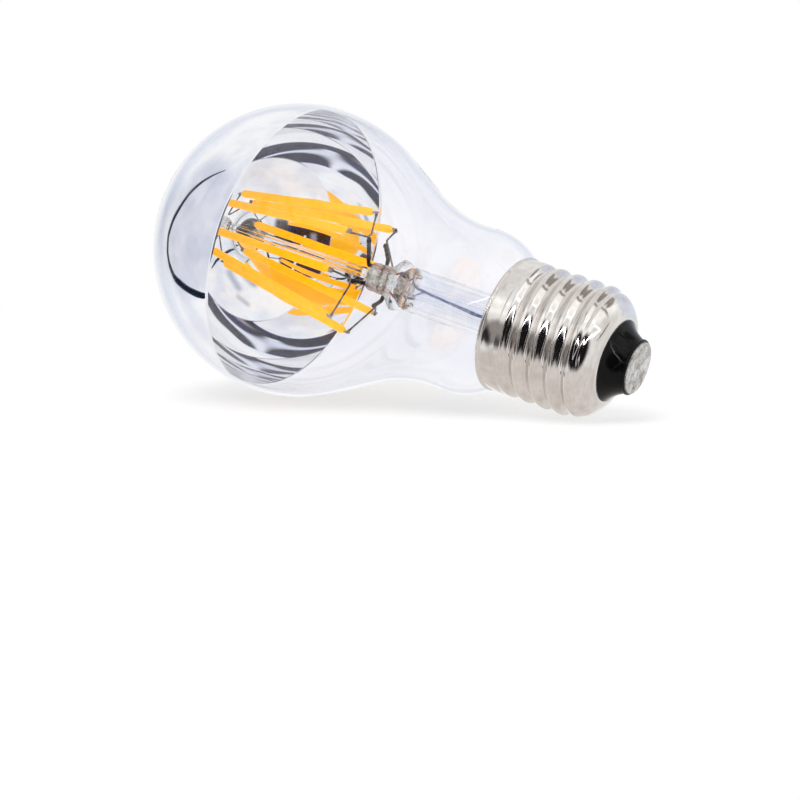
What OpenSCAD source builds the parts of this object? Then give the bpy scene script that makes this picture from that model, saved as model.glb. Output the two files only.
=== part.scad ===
// Filament lamp with a mirrored crown and a rolled screw cap.
// The axis is Z, the centre contact's face is at z = 0 and the crown is up. Millimetres.

/* [Glass envelope] */
// Diameter of the globe
globe_d = 60; // [54:0.5:66]
// Length from the contact face to the top of the crown
overall_len = 107.8; // [103:0.1:114]
// Thickness of the blown glass
glass_wall = 0.8; // [0.5:0.1:1.2]
// Diameter of the waist of the neck
neck_d = 33.1; // [31:0.1:36]
// Height of the waist of the neck above the cap rim
neck_rise = 10.6; // [9.4:0.1:13.4]
// Length of the straight flank between the globe and the neck's curve
flank_len = 11.6; // [2:0.2:14]
// Length of the straight stretch of the neck
neck_straight = 2.2; // [1:0.1:3]
// Outer diameter of the neck's end inside the cap
neck_end_d = 22.4; // [21:0.1:22.6]
// Depth of the neck's end below the cap rim
neck_insert = 7.6; // [7:0.1:9]
// Height of the edge of the silvering above the globe's centre
mirror_edge = -0.1; // [-2:0.1:6]
// Tilt of that edge, which dipping leaves a little out of level
mirror_tilt = 1.2; // [0:0.1:3]
// Thickness given to the silvering
mirror_t = 0.1; // [0.05:0.01:0.2]

/* [Screw cap] */
// Height of the cap rim
cap_len = 27.6; // [26.6:0.1:29]
// Crest diameter of the rolled thread
thread_d = 26.3; // [26.05:0.01:26.45]
// Depth of the rolled thread
thread_depth = 1.02; // [0.6:0.01:1.1]
// Pitch of the thread
thread_pitch = 3.629; // [3.4:0.001:3.8]
// Distance from the rim down to the first crest, on the -Y side
thread_start = 5.28; // [4.8:0.01:6]
// Thickness of the cap's sheet metal
shell_wall = 0.35; // [0.2:0.01:0.4]
// How far the rim flares past the thread's crests
rim_flare = 0.24; // [0.1:0.01:0.4]
// Radius of the cap's shoulder
shoulder_r = 6.7; // [6:0.1:7.2]
// Diameter of the hole that the insulator fills
lip_d = 16.1; // [15:0.1:17]
// Height of that hole's edge above the contact face
lip_z = 4.5; // [4:0.1:5.2]

/* [Contact and insulator] */
// Diameter of the centre contact
contact_d = 10; // [8:0.1:10.6]
// Thickness of the centre contact's plate
contact_t = 0.6; // [0.4:0.05:1]
// How far the contact stands out of the insulator
contact_proud = 0.35; // [0.2:0.05:0.4]
// Outer diameter of the contact's tube
eyelet_d = 3.8; // [3:0.1:5]
// Bore of the contact's tube, which the solder fills
eyelet_bore = 2.6; // [1.4:0.1:2.8]
// Height of the insulator's flange inside the cap
insulator_top = 6.4; // [5.8:0.1:7]

/* [Stem] */
// Outer diameter of the flare tube
flare_d = 8.8; // [8:0.1:10]
// Glass thickness of the flare tube
flare_wall = 0.9; // [0.6:0.1:1.1]
// Distance from the globe's centre down to the top of the pinch
stem_drop = 17.3; // [15:0.1:19]
// Height of the pinch
press_h = 8; // [7:0.1:10]
// Thickness of the pinch
press_t = 3.2; // [2.6:0.1:4]
// Outer diameter of the exhaust tube
exhaust_d = 3; // [2.4:0.1:3.4]
// Diameter of the glass rod that carries the crown end
arbor_d = 2; // [1.6:0.1:2.4]
// Diameter of the glass bead on the end of the rod
button_d = 3.8; // [3.2:0.1:4.4]
// Height of the bead above the crown ends of the filaments
button_rise = 2.6; // [2:0.1:4]

/* [Filaments] */
// Length of the amber coat
filament_len = 33.4; // [30:0.1:36]
// Diameter of the amber coat
filament_d = 1.7; // [1.4:0.1:2]
// Radius of the cage at its base end
cage_base_r = 12.5; // [11:0.1:14]
// Radius of the cage at its crown end
cage_crown_r = 7.5; // [6.5:0.1:9]
// Height of the middle of the cage above the globe's centre
cage_offset = 1.2; // [0:0.1:3]
// Length of the metal tabs at the base end
tab_len = 1.1; // [0.8:0.1:2.4]
// Length of the metal tabs at the crown end
crown_tab_len = 0.8; // [0.6:0.1:1.6]

/* [Wires] */
// Diameter of the four support wires
support_d = 0.9; // [0.6:0.05:1]
// Diameter of the thin wires that reach the filaments at the base end
link_d = 0.4; // [0.3:0.05:0.6]
// Diameter of the thin wires at the crown end
crown_link_d = 0.3; // [0.2:0.05:0.5]
// Diameter of the two lead wires
lead_d = 0.5; // [0.4:0.05:0.6]

/* [Driver] */
// Thickness of the circuit board
board_t = 1; // [0.8:0.1:1.6]
// Diameter of the filter capacitor
capacitor_d = 6.3; // [5:0.1:7]
// Height of the filter capacitor
capacitor_h = 7; // [5:0.1:8]
// Side of the bridge rectifier
rectifier_w = 4.6; // [3.6:0.1:5]
// Side of the driver chip
chip_w = 4.9; // [4:0.1:5.2]
// Diameter of the fuse resistor
resistor_d = 2.4; // [2:0.1:2.8]
// Length of the fuse resistor's body
resistor_l = 5; // [4:0.1:6]

/* [Hidden] */
$fn = 96;

// Clearance that seats a piece without an overlap
seat = 0.05;
// Sides of a wire's section and steps of each of its bends
wire_sides = 8;
bend_steps = 4;

// Glass envelope: a globe, a straight flank tangent to it, a concave neck and a convex tuck
globe_r = globe_d / 2;
globe_z = overall_len - globe_r;
neck_z = cap_len + neck_rise;
neck_r = neck_d / 2;
neck_curve_r = (pow(globe_z - neck_z, 2) + neck_r * neck_r - globe_r * globe_r
    - flank_len * flank_len) / (2 * (globe_r - neck_r));
flank_angle = atan2(neck_z - globe_z, neck_r + neck_curve_r)
    + acos((globe_r + neck_curve_r) / norm([neck_r + neck_curve_r, globe_z - neck_z]));
neck_curve = [neck_r + neck_curve_r, neck_z];
thread_r = thread_d / 2;
rim_inner_r = thread_r + rim_flare - shell_wall;
tuck_top = neck_z - neck_straight;
tuck_in = neck_r - (rim_inner_r - seat);
tuck_r = (tuck_in * tuck_in + pow(tuck_top - cap_len, 2)) / (2 * tuck_in);
tuck_centre = [neck_r - tuck_r, tuck_top];
neck_end_r = neck_end_d / 2;
tuck_bottom = tuck_top - sqrt(tuck_r * tuck_r - pow(neck_end_r - tuck_centre.x, 2));
neck_end_z = cap_len - neck_insert;
neck_bore_r = neck_end_r - glass_wall;
// How far each stretch of the outline runs on inside the next
outline_lap = 1;

// Screw cap
shell_corner = [thread_r - shoulder_r, lip_z + sqrt(shoulder_r * shoulder_r
    - pow(lip_d / 2 - thread_r + shoulder_r, 2))];
lip_angle = acos((lip_d / 2 - shell_corner.x) / shoulder_r);
lip_inner_r = shell_corner.x + (shoulder_r - shell_wall) * cos(lip_angle);
first_crest = cap_len - thread_start;
skirt_height = 3.4;
shoulder_height = 2.7;
thread_fade = 2.2;
thread_top = cap_len - skirt_height;
thread_low = lip_z + shoulder_height;
sectors = 42;
rings_per_turn = 7;
shoulder_rings = 6;
rim_height = 1.3;
rim_bead = 0.12;

// Stem
press_top = globe_z - stem_drop;
press_bottom = press_top - press_h;
flare_r = flare_d / 2;
flare_curve_r = neck_bore_r - flare_r;
seal_gap = 0.4;
seal_z = tuck_bottom - flare_wall - seal_gap;
press_neck_h = 2.8;
press_w = 6;
press_wing_w = 10.6;
press_wing_rise = 0.8;
press_edge = 0.3;
press_corner = 0.6;
exhaust_tip_rise = 1.5;
exhaust_tip_z = neck_end_z + exhaust_tip_rise;
exhaust_wall = 0.5;
button_r = button_d / 2;

// Filament cage. The angles are those of a cage set up by hand, so they aren't quite even.
base_angle = [-7, 33, 76, 124, 170, -145, -98, -55];
crown_angle = [-12, 38, 82, 120, 162, -150, -96, -50];
cage_half = sqrt(filament_len * filament_len - pow(cage_base_r - cage_crown_r, 2)) / 2;
cage_base_z = globe_z + cage_offset - cage_half;
cage_crown_z = globe_z + cage_offset + cage_half;
end_cut = 0.25;
tab_w = 1;
tab_t = 0.25;
weld_depth = 0.5;
button_z = cage_crown_z + button_rise;
arbor_top = button_z - sqrt(button_r * button_r - arbor_d * arbor_d / 4);

// Support wires: each leaves the pinch and carries one cross wire between two filaments
support_pair = [[7, 0], [1, 2], [3, 4], [5, 6]];
support_angle = [-24, 60, 126, -131];
support_r = [5.4, 7.8, 8.4, 7.5];
knot_rise = [0.6, 0.6, 1.5, -0.5];
knot_w = 0.7;
side_drop = [0, 0, 2.6, 4.2];
side_exit = 1;
crown_pair = [[0, 1], [2, 3], [4, 5], [6, 7]];
lead_y = 1.9;
lead_sway = 0.6;
lead_gap = 0.4;
board_pin_r = 6;
pin_h = 0.8;
beside_lead = (support_d + lead_d) / 2 + seat;
weld_gap = 0.02;

// Driver
board_top = neck_end_z;
board_low = board_top - board_t;
board_gap = 0.3;
board_r = neck_end_r - board_gap;
capacitor_at = [-5, 0];
rectifier_at = [4.5, 5];
chip_at = [4.5, -5];
resistor_at = [2.6, 0];
resistor_stand = 1.2;
resistor_low = board_low - resistor_stand - resistor_l;
neutral_run = 2.8;
chip_h = 1.6;
live_d = 0.6;
live_drop = 0.8;
solder_h = 1.6;
eyelet_rise = 0.4;

function polar(r, a, z) = [r * cos(a), r * sin(a), z];
function unit(v) = v / norm(v);
function base_end(i) = polar(cage_base_r, base_angle[i], cage_base_z);
function crown_end(i) = polar(cage_crown_r, crown_angle[i], cage_crown_z);
function beyond(p, q, d) = q + unit(q - p) * d;
// Where a thin wire is welded to the inner face of a tab
function welded(p, q, len, d, a) = beyond(p, q, len - weld_depth) - polar((tab_t + d) / 2 + weld_gap, a, 0);
function base_tab(i) = welded(crown_end(i), base_end(i), tab_len, link_d, base_angle[i]);
function crown_tab(i) = welded(base_end(i), crown_end(i), crown_tab_len, crown_link_d, crown_angle[i]);
function knot(k, out = 0) = polar(support_r[k] + out, support_angle[k], press_top + knot_rise[k]);
function knot_side(k) = [-sin(support_angle[k]), cos(support_angle[k]), 0] * knot_w;
// Two support wires stand on the pinch beside the leads. The other two run through its glass, each
// from beside the opposite lead, and come out of its side, so that each lead feeds two of them.
function support_path(k) = k < 2
    ? let (y = (k == 0 ? -1 : 1) * lead_y)
        [[beside_lead, y, press_top], [beside_lead, y, press_top + knot_rise[k]], knot(k)]
    : let (s = k == 2 ? 1 : -1, z = press_top - side_drop[k])
        [[-beside_lead, -s * lead_y, z], [-beside_lead, s * (press_w / 2 + side_exit), z], knot(k)];

// Places children, drawn along +Z from the origin, along the line from p to q
module along(p, q) {
    v = q - p;
    translate(p) rotate([0, acos(v.z / norm(v)), atan2(v.y, v.x)]) children();
}

// The route of a wire with each corner rounded to a curve that starts at most bend from it
function eased(a, c, b, u) = (1 - u) * (1 - u) * a + 2 * u * (1 - u) * c + u * u * b;
function bent(p, bend) = concat([p[0]], [for (i = [1 : 1 : len(p) - 2])
    let (before = p[i - 1] - p[i], after = p[i + 1] - p[i],
         a = p[i] + unit(before) * min(bend, 0.45 * norm(before)),
         b = p[i] + unit(after) * min(bend, 0.45 * norm(after)))
    each [for (step = [0 : bend_steps]) eased(a, p[i], b, step / bend_steps)]], [p[len(p) - 1]]);
function tangents(p) = [for (i = [0 : len(p) - 1])
    unit(p[min(i + 1, len(p) - 1)] - p[max(i - 1, 0)])];
// A side direction carried along the tangents without twist
function carried(t, side, i = 0) = i == len(t) ? []
    : let (n = unit(side - (side * t[i]) * t[i])) concat([n], carried(t, n, i + 1));

// A wire of diameter d, swept along the rounded route
module wire(points, d, bend = 0.9) {
    path = bent(points, bend);
    t = tangents(path);
    n = carried(t, cross(t[0], [0.3, 0.5, 0.8]));
    last = len(path) - 1;
    polyhedron(
        points = [for (i = [0 : last]) for (j = [0 : wire_sides - 1]) let (a = 360 * j / wire_sides)
            path[i] + d / 2 * (cos(a) * n[i] + sin(a) * cross(t[i], n[i]))],
        faces = concat(
            [[for (j = [0 : wire_sides - 1]) j],
             [for (j = [wire_sides - 1 : -1 : 0]) last * wire_sides + j]],
            [for (i = [0 : last - 1]) for (j = [0 : wire_sides - 1])
                let (a = i * wire_sides + j, b = i * wire_sides + (j + 1) % wire_sides)
                each [[a, a + wire_sides, b + wire_sides], [a, b + wire_sides, b]]]));
}

// Half outline of the envelope, moved inwards by d
module envelope_outline(d) {
    flank_top = [(globe_r - d) * cos(flank_angle), globe_z + (globe_r - d) * sin(flank_angle)];
    flank_low = neck_curve - (neck_curve_r + d) * [cos(flank_angle), sin(flank_angle)];
    intersection() {
        translate([0, globe_z - globe_r]) square(globe_d);
        translate([0, globe_z]) circle(r = globe_r - d);
    }
    difference() {
        polygon([[0, neck_z], [neck_r - d, neck_z], flank_low, flank_top, [0, flank_top.y]]);
        translate(neck_curve) circle(r = neck_curve_r + d);
    }
    translate([0, tuck_top]) square([neck_r - d, neck_straight + outline_lap]);
    translate([0, tuck_bottom]) intersection() {
        square([neck_r, tuck_top - tuck_bottom + outline_lap]);
        translate([tuck_centre.x, tuck_top - tuck_bottom]) circle(r = tuck_r - d);
    }
    translate([0, neck_end_z]) square([neck_end_r - d, tuck_bottom - neck_end_z + outline_lap]);
}

module glass_bulb() {
    color([0.86, 0.89, 0.94, 0.35]) rotate_extrude() difference() {
        envelope_outline(0);
        envelope_outline(glass_wall);
        translate([0, neck_end_z - 1]) square([neck_bore_r, 2]);
    }
}

// The silvering: the crown side of the globe's inner face, ended by a slightly tilted edge
module mirror_coating() {
    inner_r = globe_r - glass_wall;
    color("silver") intersection() {
        translate([0, 0, globe_z]) rotate_extrude() intersection() {
            difference() {
                circle(r = inner_r);
                circle(r = inner_r - mirror_t);
            }
            translate([0, -globe_r]) square([globe_r, globe_d]);
        }
        translate([0, 0, globe_z + mirror_edge]) rotate([0, -mirror_tilt, 0])
            translate([-globe_d, -globe_d, 0]) cube(2 * globe_d);
    }
}

// Half outline of the flare tube and the skirt that is sealed to the neck
module flare_outline(d) {
    tube_r = flare_r - d;
    curve_z = seal_z + flare_wall + flare_curve_r;
    translate([0, curve_z]) square([tube_r, press_bottom - curve_z]);
    difference() {
        translate([0, seal_z]) square([neck_bore_r, curve_z - seal_z]);
        translate([flare_r + flare_curve_r, curve_z]) circle(r = flare_curve_r + d);
    }
}

// The pinch: the tube's end, squeezed flat between two jaws
module press_body() {
    wing_z = press_bottom + press_neck_h;
    intersection() {
        rotate([90, 0, 90]) linear_extrude(height = flare_d + 2, center = true) polygon([
            [-flare_r, press_bottom], [-press_wing_w / 2, press_bottom + press_wing_rise],
            [-press_w / 2, wing_z], [press_edge - press_w / 2, press_top - press_corner],
            [press_edge + press_corner - press_w / 2, press_top],
            [press_w / 2 - press_edge - press_corner, press_top],
            [press_w / 2 - press_edge, press_top - press_corner], [press_w / 2, wing_z],
            [press_wing_w / 2, press_bottom + press_wing_rise], [flare_r, press_bottom]
        ]);
        rotate([90, 0, 0]) linear_extrude(height = press_wing_w + 2, center = true) polygon([
            [-flare_r, press_bottom], [-press_t / 2 - press_corner, wing_z - press_wing_rise],
            [-press_t / 2, wing_z], [-press_t / 2, press_top], [press_t / 2, press_top],
            [press_t / 2, wing_z], [press_t / 2 + press_corner, wing_z - press_wing_rise],
            [flare_r, press_bottom]
        ]);
    }
}

module stem_flare() {
    color([0.86, 0.89, 0.94, 0.35]) difference() {
        union() {
            rotate_extrude() difference() {
                flare_outline(0);
                flare_outline(flare_wall);
            }
            press_body();
        }
        for (s = [-1, 1])
            translate([0, s * lead_y, press_bottom - 1])
                cylinder(h = press_h + 2, d = lead_d + seat, $fn = 24);
        for (k = [2, 3])
            along(support_path(k)[0], support_path(k)[1])
                cylinder(h = norm(support_path(k)[1] - support_path(k)[0]), d = support_d + seat,
                    $fn = 24);
    }
}

module exhaust_tube() {
    exhaust_r = exhaust_d / 2;
    color([0.86, 0.89, 0.94, 0.35]) rotate_extrude() difference() {
        union() {
            translate([0, exhaust_tip_z + exhaust_r])
                square([exhaust_r, press_bottom - exhaust_tip_z - exhaust_r]);
            intersection() {
                translate([0, exhaust_tip_z]) square(exhaust_r * 2);
                translate([0, exhaust_tip_z + exhaust_r]) circle(r = exhaust_r);
            }
        }
        translate([0, exhaust_tip_z + exhaust_r])
            square([exhaust_r - exhaust_wall, press_bottom - exhaust_tip_z]);
    }
}

module arbor_rod() {
    color([0.86, 0.89, 0.94, 0.35])
        translate([0, 0, press_top]) cylinder(h = arbor_top - press_top, d = arbor_d);
}

module crown_button() {
    color([0.9, 0.86, 0.84, 0.6]) difference() {
        translate([0, 0, button_z]) sphere(d = button_d);
        translate([-button_d, -button_d, arbor_top - button_d])
            cube([2 * button_d, 2 * button_d, button_d]);
    }
}

// One filament: a round coat of phosphor, its ends cut flat for the tabs
module filament(i) {
    r = filament_d / 2;
    color([1, 0.66, 0.1]) along(base_end(i), crown_end(i)) rotate_extrude($fn = 32) intersection() {
        translate([0, end_cut]) square([r, filament_len - 2 * end_cut]);
        union() {
            translate([0, r]) square([r, filament_len - filament_d]);
            translate([0, r]) circle(r = r);
            translate([0, filament_len - r]) circle(r = r);
        }
    }
}

module filament_tabs() {
    color([0.6, 0.58, 0.55]) for (i = [0 : 7]) {
        along(base_end(i), crown_end(i)) {
            translate([-tab_t / 2, -tab_w / 2, end_cut - tab_len]) cube([tab_t, tab_w, tab_len]);
            translate([-tab_t / 2, -tab_w / 2, filament_len - end_cut])
                cube([tab_t, tab_w, crown_tab_len]);
        }
    }
}

module support_wire(k) {
    color([0.25, 0.24, 0.24]) wire(support_path(k), support_d);
}

// A thin wire that lies across the end of a support wire and reaches two filaments
module cross_wire(k) {
    middle = knot(k, (support_d + link_d) / 2 + seat);
    ends = [for (i = support_pair[k]) base_tab(i)];
    color([0.25, 0.24, 0.24])
        wire([ends[0], middle - knot_side(k), middle + knot_side(k), ends[1]], link_d, knot_w / 2);
}

module crown_link(k) {
    ends = [for (i = crown_pair[k]) crown_tab(i)];
    middle = (ends[0] + ends[1]) / 2;
    touch = polar(button_r + crown_link_d / 2, atan2(middle.y, middle.x), button_z);
    color([0.3, 0.28, 0.27]) wire([ends[0], touch, ends[1]], crown_link_d);
}

// A lead runs from the board up beside the exhaust tube, sways a little in the flare and ends in the pinch
module lead_wire(s) {
    beside = exhaust_d / 2 + lead_d / 2 + lead_gap;
    rise = press_bottom - seal_z;
    color([0.45, 0.47, 0.6]) wire([
        [s * board_pin_r, 0, board_top], [s * board_pin_r, 0, board_top + pin_h],
        [s * beside, 0, seal_z], [s * beside, -lead_sway, seal_z + rise * 0.34],
        [s * beside, lead_sway, seal_z + rise * 0.85],
        [s * beside * 0.8, s * lead_y * 0.9, seal_z + rise * 0.92],
        [0, s * lead_y, press_bottom - 2 * lead_d], [0, s * lead_y, press_top + lead_d]
    ], lead_d);
}

// Radius of the cap shell's skin at angle a and height z, moved inwards by d
function groove(a, z) = (1 - cos(360 * (z - first_crest) / thread_pitch - a - 90)) / 2;
function eased_share(u) = u * u * (3 - 2 * u);
function fade(z) = eased_share(min(1, max(0, (thread_top - z) / thread_fade),
    max(0, (z - thread_low) / thread_fade)));
function skin_r(z, d) = z > shell_corner.y ? thread_r - d
    : shell_corner.x + sqrt(pow(shoulder_r - d, 2) - pow(shell_corner.y - z, 2));
function thread_skin(a, z, d) = skin_r(z, d) - thread_depth * fade(z) * groove(a, z);

// The cap shell: rings of points from the lip over the shoulder and the helical thread to the
// rolled rim, and back down the inside, joined into one closed skin
module cap_shell() {
    low_angle = asin((shell_corner.y - thread_low) / shoulder_r);
    thread_rings = ceil((thread_top - thread_low) / (thread_pitch / rings_per_turn));
    thread_step = (thread_top - thread_low) / thread_rings;
    shoulder = [for (i = [0 : shoulder_rings - 1]) lip_angle + (low_angle - lip_angle) * i / shoulder_rings];
    function shoulder_ring(t, d) = [for (j = [0 : sectors - 1]) polar(
        shell_corner.x + (shoulder_r - d) * cos(t), 360 * j / sectors,
        shell_corner.y - (shoulder_r - d) * sin(t))];
    function thread_ring(z, d) = [for (j = [0 : sectors - 1])
        let (a = 360 * j / sectors) polar(thread_skin(a, z, d), a, z)];
    function rim_ring(r, z) = [for (j = [0 : sectors - 1]) polar(r, 360 * j / sectors, z)];
    flare_low = cap_len - rim_height;
    rim_r = thread_r + rim_flare;
    outer = concat(
        [for (t = shoulder) shoulder_ring(t, 0)],
        [for (i = [0 : thread_rings]) thread_ring(thread_low + i * thread_step, 0)],
        [rim_ring(thread_r, flare_low), rim_ring(thread_r + rim_flare * 0.4, cap_len - rim_height * 0.5),
         rim_ring(rim_r - rim_bead * 0.4, cap_len - rim_bead * 3), rim_ring(rim_r, cap_len - rim_bead * 1.5),
         rim_ring(rim_r - rim_bead, cap_len)]);
    inner = concat(
        [rim_ring(rim_inner_r + rim_bead * 0.5, cap_len), rim_ring(rim_inner_r, cap_len - rim_bead * 2),
         rim_ring(thread_r - shell_wall + rim_flare * 0.4, cap_len - rim_height * 0.5),
         rim_ring(thread_r - shell_wall, flare_low)],
        [for (i = [thread_rings : -1 : 0]) thread_ring(thread_low + i * thread_step, shell_wall)],
        [for (i = [shoulder_rings - 1 : -1 : 0]) shoulder_ring(shoulder[i], shell_wall)]);
    rings = concat(outer, inner);
    count = len(rings);
    color([0.75, 0.73, 0.7]) polyhedron(
        points = [for (ring = rings) each ring],
        faces = [for (i = [0 : count - 1]) for (j = [0 : sectors - 1])
            let (a = i * sectors + j, b = i * sectors + (j + 1) % sectors,
                 c = ((i + 1) % count) * sectors + (j + 1) % sectors, d = ((i + 1) % count) * sectors + j)
            each [[a, c, b], [a, d, c]]],
        convexity = 6);
}

module insulator() {
    bead_r = 0.3;
    cone_low = [contact_d / 2 + bead_r, contact_proud + 2 * bead_r];
    cone_top = [lip_inner_r * cos(180 / sectors) - seat / 2, lip_z];
    hollow_r = 8;
    middle = (cone_low + cone_top) / 2;
    half = norm(cone_top - cone_low) / 2;
    side = unit([cone_top.y - cone_low.y, cone_low.x - cone_top.x]);
    flange_z = lip_z + shell_wall + seat;
    color([0.03, 0.03, 0.04]) rotate_extrude() difference() {
        union() {
            difference() {
                polygon([[0, contact_proud], [cone_low.x, contact_proud], cone_low, cone_top,
                    [cone_top.x, insulator_top], [0, insulator_top]]);
                translate(middle + side * sqrt(hollow_r * hollow_r - half * half)) circle(r = hollow_r);
            }
            translate([cone_low.x - bead_r / 2, contact_proud + bead_r]) circle(r = bead_r);
            intersection() {
                translate([0, flange_z]) square([thread_r, insulator_top - flange_z]);
                translate(shell_corner) circle(r = shoulder_r - shell_wall - seat);
            }
        }
        square([contact_d / 2, contact_t]);
        square([eyelet_d / 2, insulator_top + 1]);
    }
}

module contact_eyelet() {
    color([0.7, 0.7, 0.68]) difference() {
        union() {
            cylinder(h = contact_t, d = contact_d);
            cylinder(h = insulator_top + eyelet_rise, d = eyelet_d);
        }
        translate([0, 0, -1]) cylinder(h = insulator_top + 3, d = eyelet_bore);
    }
}

module contact_solder() {
    color([0.78, 0.78, 0.77]) difference() {
        cylinder(h = solder_h, d = eyelet_bore);
        translate([0, 0, solder_h / 2]) cylinder(h = solder_h, d = live_d, $fn = 24);
    }
}

module basing_cement() {
    ring_low = thread_top + seat;
    color([0.85, 0.83, 0.78]) translate([0, 0, ring_low]) difference() {
        cylinder(h = tuck_bottom - ring_low, r = thread_r - shell_wall - seat);
        translate([0, 0, -1]) cylinder(h = tuck_bottom - ring_low + 2, r = neck_end_r);
    }
}

module driver_board() {
    color([0.1, 0.35, 0.2]) translate([0, 0, board_low]) cylinder(h = board_t, r = board_r);
}

module chip_body(at, w) {
    translate([at.x - w / 2, at.y - w / 2, board_low - chip_h]) cube([w, w, chip_h]);
}

module bridge_rectifier() {
    color([0.12, 0.12, 0.13]) chip_body(rectifier_at, rectifier_w);
}

module driver_chip() {
    color([0.1, 0.1, 0.12]) chip_body(chip_at, chip_w);
}

module filter_capacitor() {
    crimp_d = 0.7;
    color([0.15, 0.2, 0.35])
        translate([capacitor_at.x, capacitor_at.y, board_low - capacitor_h]) difference() {
            cylinder(h = capacitor_h, d = capacitor_d);
            translate([0, 0, capacitor_h - 2 * crimp_d]) rotate_extrude()
                translate([(capacitor_d + crimp_d / 2) / 2, 0]) circle(d = crimp_d, $fn = 24);
        }
}

module fuse_resistor() {
    color([0.55, 0.7, 0.6]) translate([resistor_at.x, resistor_at.y, resistor_low]) {
        cylinder(h = resistor_l, d = resistor_d);
        translate([0, 0, resistor_l]) cylinder(h = resistor_stand, d = live_d, $fn = 24);
    }
}

module live_wire() {
    color([0.75, 0.3, 0.2]) wire([
        [resistor_at.x, resistor_at.y, resistor_low],
        [resistor_at.x, resistor_at.y, resistor_low - live_drop],
        [0, 0, insulator_top + live_drop], [0, 0, solder_h / 2]
    ], live_d);
}

module neutral_wire() {
    side_r = neck_end_r + link_d / 2 + seat;
    low = board_low - link_d / 2 - seat;
    color([0.7, 0.7, 0.72]) wire([
        [0, board_r - neutral_run, low], [0, side_r, low], [0, side_r, neck_end_z + neutral_run]
    ], link_d);
}

glass_bulb();
mirror_coating();
stem_flare();
exhaust_tube();
arbor_rod();
crown_button();
for (i = [0 : 7])
    filament(i);
filament_tabs();
for (k = [0 : 3]) {
    support_wire(k);
    cross_wire(k);
    crown_link(k);
}
lead_wire(1);  // lead_wire_1
lead_wire(-1);  // lead_wire_2
cap_shell();
insulator();
contact_eyelet();
contact_solder();
basing_cement();
driver_board();
bridge_rectifier();
driver_chip();
filter_capacitor();
fuse_resistor();
live_wire();
neutral_wire();
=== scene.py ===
import math

import bpy
from mathutils import Matrix, Vector


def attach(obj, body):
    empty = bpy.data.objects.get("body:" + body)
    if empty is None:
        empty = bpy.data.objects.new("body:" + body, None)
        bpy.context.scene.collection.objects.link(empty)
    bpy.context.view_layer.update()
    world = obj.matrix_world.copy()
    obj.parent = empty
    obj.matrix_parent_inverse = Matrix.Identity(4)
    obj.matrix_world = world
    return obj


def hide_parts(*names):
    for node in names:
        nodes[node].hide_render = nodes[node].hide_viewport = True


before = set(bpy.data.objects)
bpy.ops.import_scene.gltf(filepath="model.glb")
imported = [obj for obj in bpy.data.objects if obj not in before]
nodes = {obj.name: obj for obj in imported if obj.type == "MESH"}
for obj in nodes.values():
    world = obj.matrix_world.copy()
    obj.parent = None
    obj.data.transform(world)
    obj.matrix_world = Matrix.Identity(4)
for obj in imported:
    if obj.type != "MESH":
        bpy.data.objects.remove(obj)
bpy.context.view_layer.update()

MM = 0.001
scene = bpy.context.scene

# Sizes of the lamp, in millimetres, as in the part's source
GLOBE_R, GLOBE_Z = 30.0, 77.8
GLASS_WALL, GLASS_GAP = 0.8, 0.01
NECK_R, NECK_Z = 16.55, 38.2
FLANK_LEN = 11.6
TUCK_TOP, TUCK_R, TUCK_BOTTOM = 36.0, 11.7, 26.1
NECK_END_R, NECK_END_Z = 11.2, 20.0
MIRROR_EDGE, MIRROR_TILT, MIRROR_T = -0.1, 1.2, 0.02
CAP_LEN, THREAD_R, THREAD_DEPTH, PITCH = 27.6, 13.15, 1.02, 3.629
FIRST_CREST, SHELL_WALL, RIM_FLARE, CREASE = 22.32, 0.35, 0.24, 0.05
SHOULDER_R, LIP_R, LIP_Z, LIP_BEND = 6.7, 8.05, 4.5, 0.1
RIM_BEAD_R, RIM_BEAD_DROP = 0.35, 0.03
THREAD_TOP, THREAD_LOW, THREAD_FADE = 24.2, 7.2, 2.2
PRESS_TOP, PRESS_BOTTOM = 60.5, 52.5
FLARE_R, FLARE_WALL, SEAL_DROP = 4.4, 0.9, 0.4
ROD_R = 1.0
FILAMENT_LEN, FILAMENT_R = 33.4, 0.85
BASE_R, CROWN_R = 12.5, 7.5
CAGE_MID, TAB_LEN, CROWN_TAB_LEN, TAB_T, END_CUT = 79.0, 1.1, 0.8, 0.25, 0.25
BASE_ANGLE = (-7, 33, 76, 124, 170, -145, -98, -55)
CROWN_ANGLE = (-12, 38, 82, 120, 162, -150, -96, -50)
CAGE_HALF = math.sqrt(FILAMENT_LEN**2 - (BASE_R - CROWN_R) ** 2) / 2
BASE_Z, CROWN_Z = CAGE_MID - CAGE_HALF, CAGE_MID + CAGE_HALF
BUTTON_R, BUTTON_Z = 1.9, CROWN_Z + 2.6
SUPPORT_R, LINK_R, CROWN_LINK_R, LEAD_R = 0.45, 0.2, 0.15, 0.25
SUPPORT_PAIR = ((7, 0), (1, 2), (3, 4), (5, 6))
SUPPORT_ANGLE = (-24, 60, 126, -131)
KNOT_R, KNOT_RISE, KNOT_W = (5.4, 7.8, 8.4, 7.5), (0.6, 0.6, 1.5, -0.5), 0.7
SIDE_DROP, SIDE_Y = (0, 0, 2.6, 4.2), 4.0
PRESS_W, SEALED_SHARE = 6.0, 0.5
CROWN_PAIR = ((0, 1), (2, 3), (4, 5), (6, 7))
LEAD_Y, LEAD_SWAY, LEAD_BESIDE, PIN_R, PIN_H = 1.9, 0.6, 2.15, 6.0, 0.8
SEAT, WELD_DEPTH, WELD_GAP = 0.05, 0.5, 0.02

# Camera: distance and angle from the globe's centre, and where that centre lies in the picture
CAM_DISTANCE, CAM_ANGLE, CAM_ROLL = 356.0, 58.15, -71.034
CAM_FOCAL_PX, PICTURE_PX = 1720.5, 800
GLOBE_PX = (300.5, 251.2)


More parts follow.
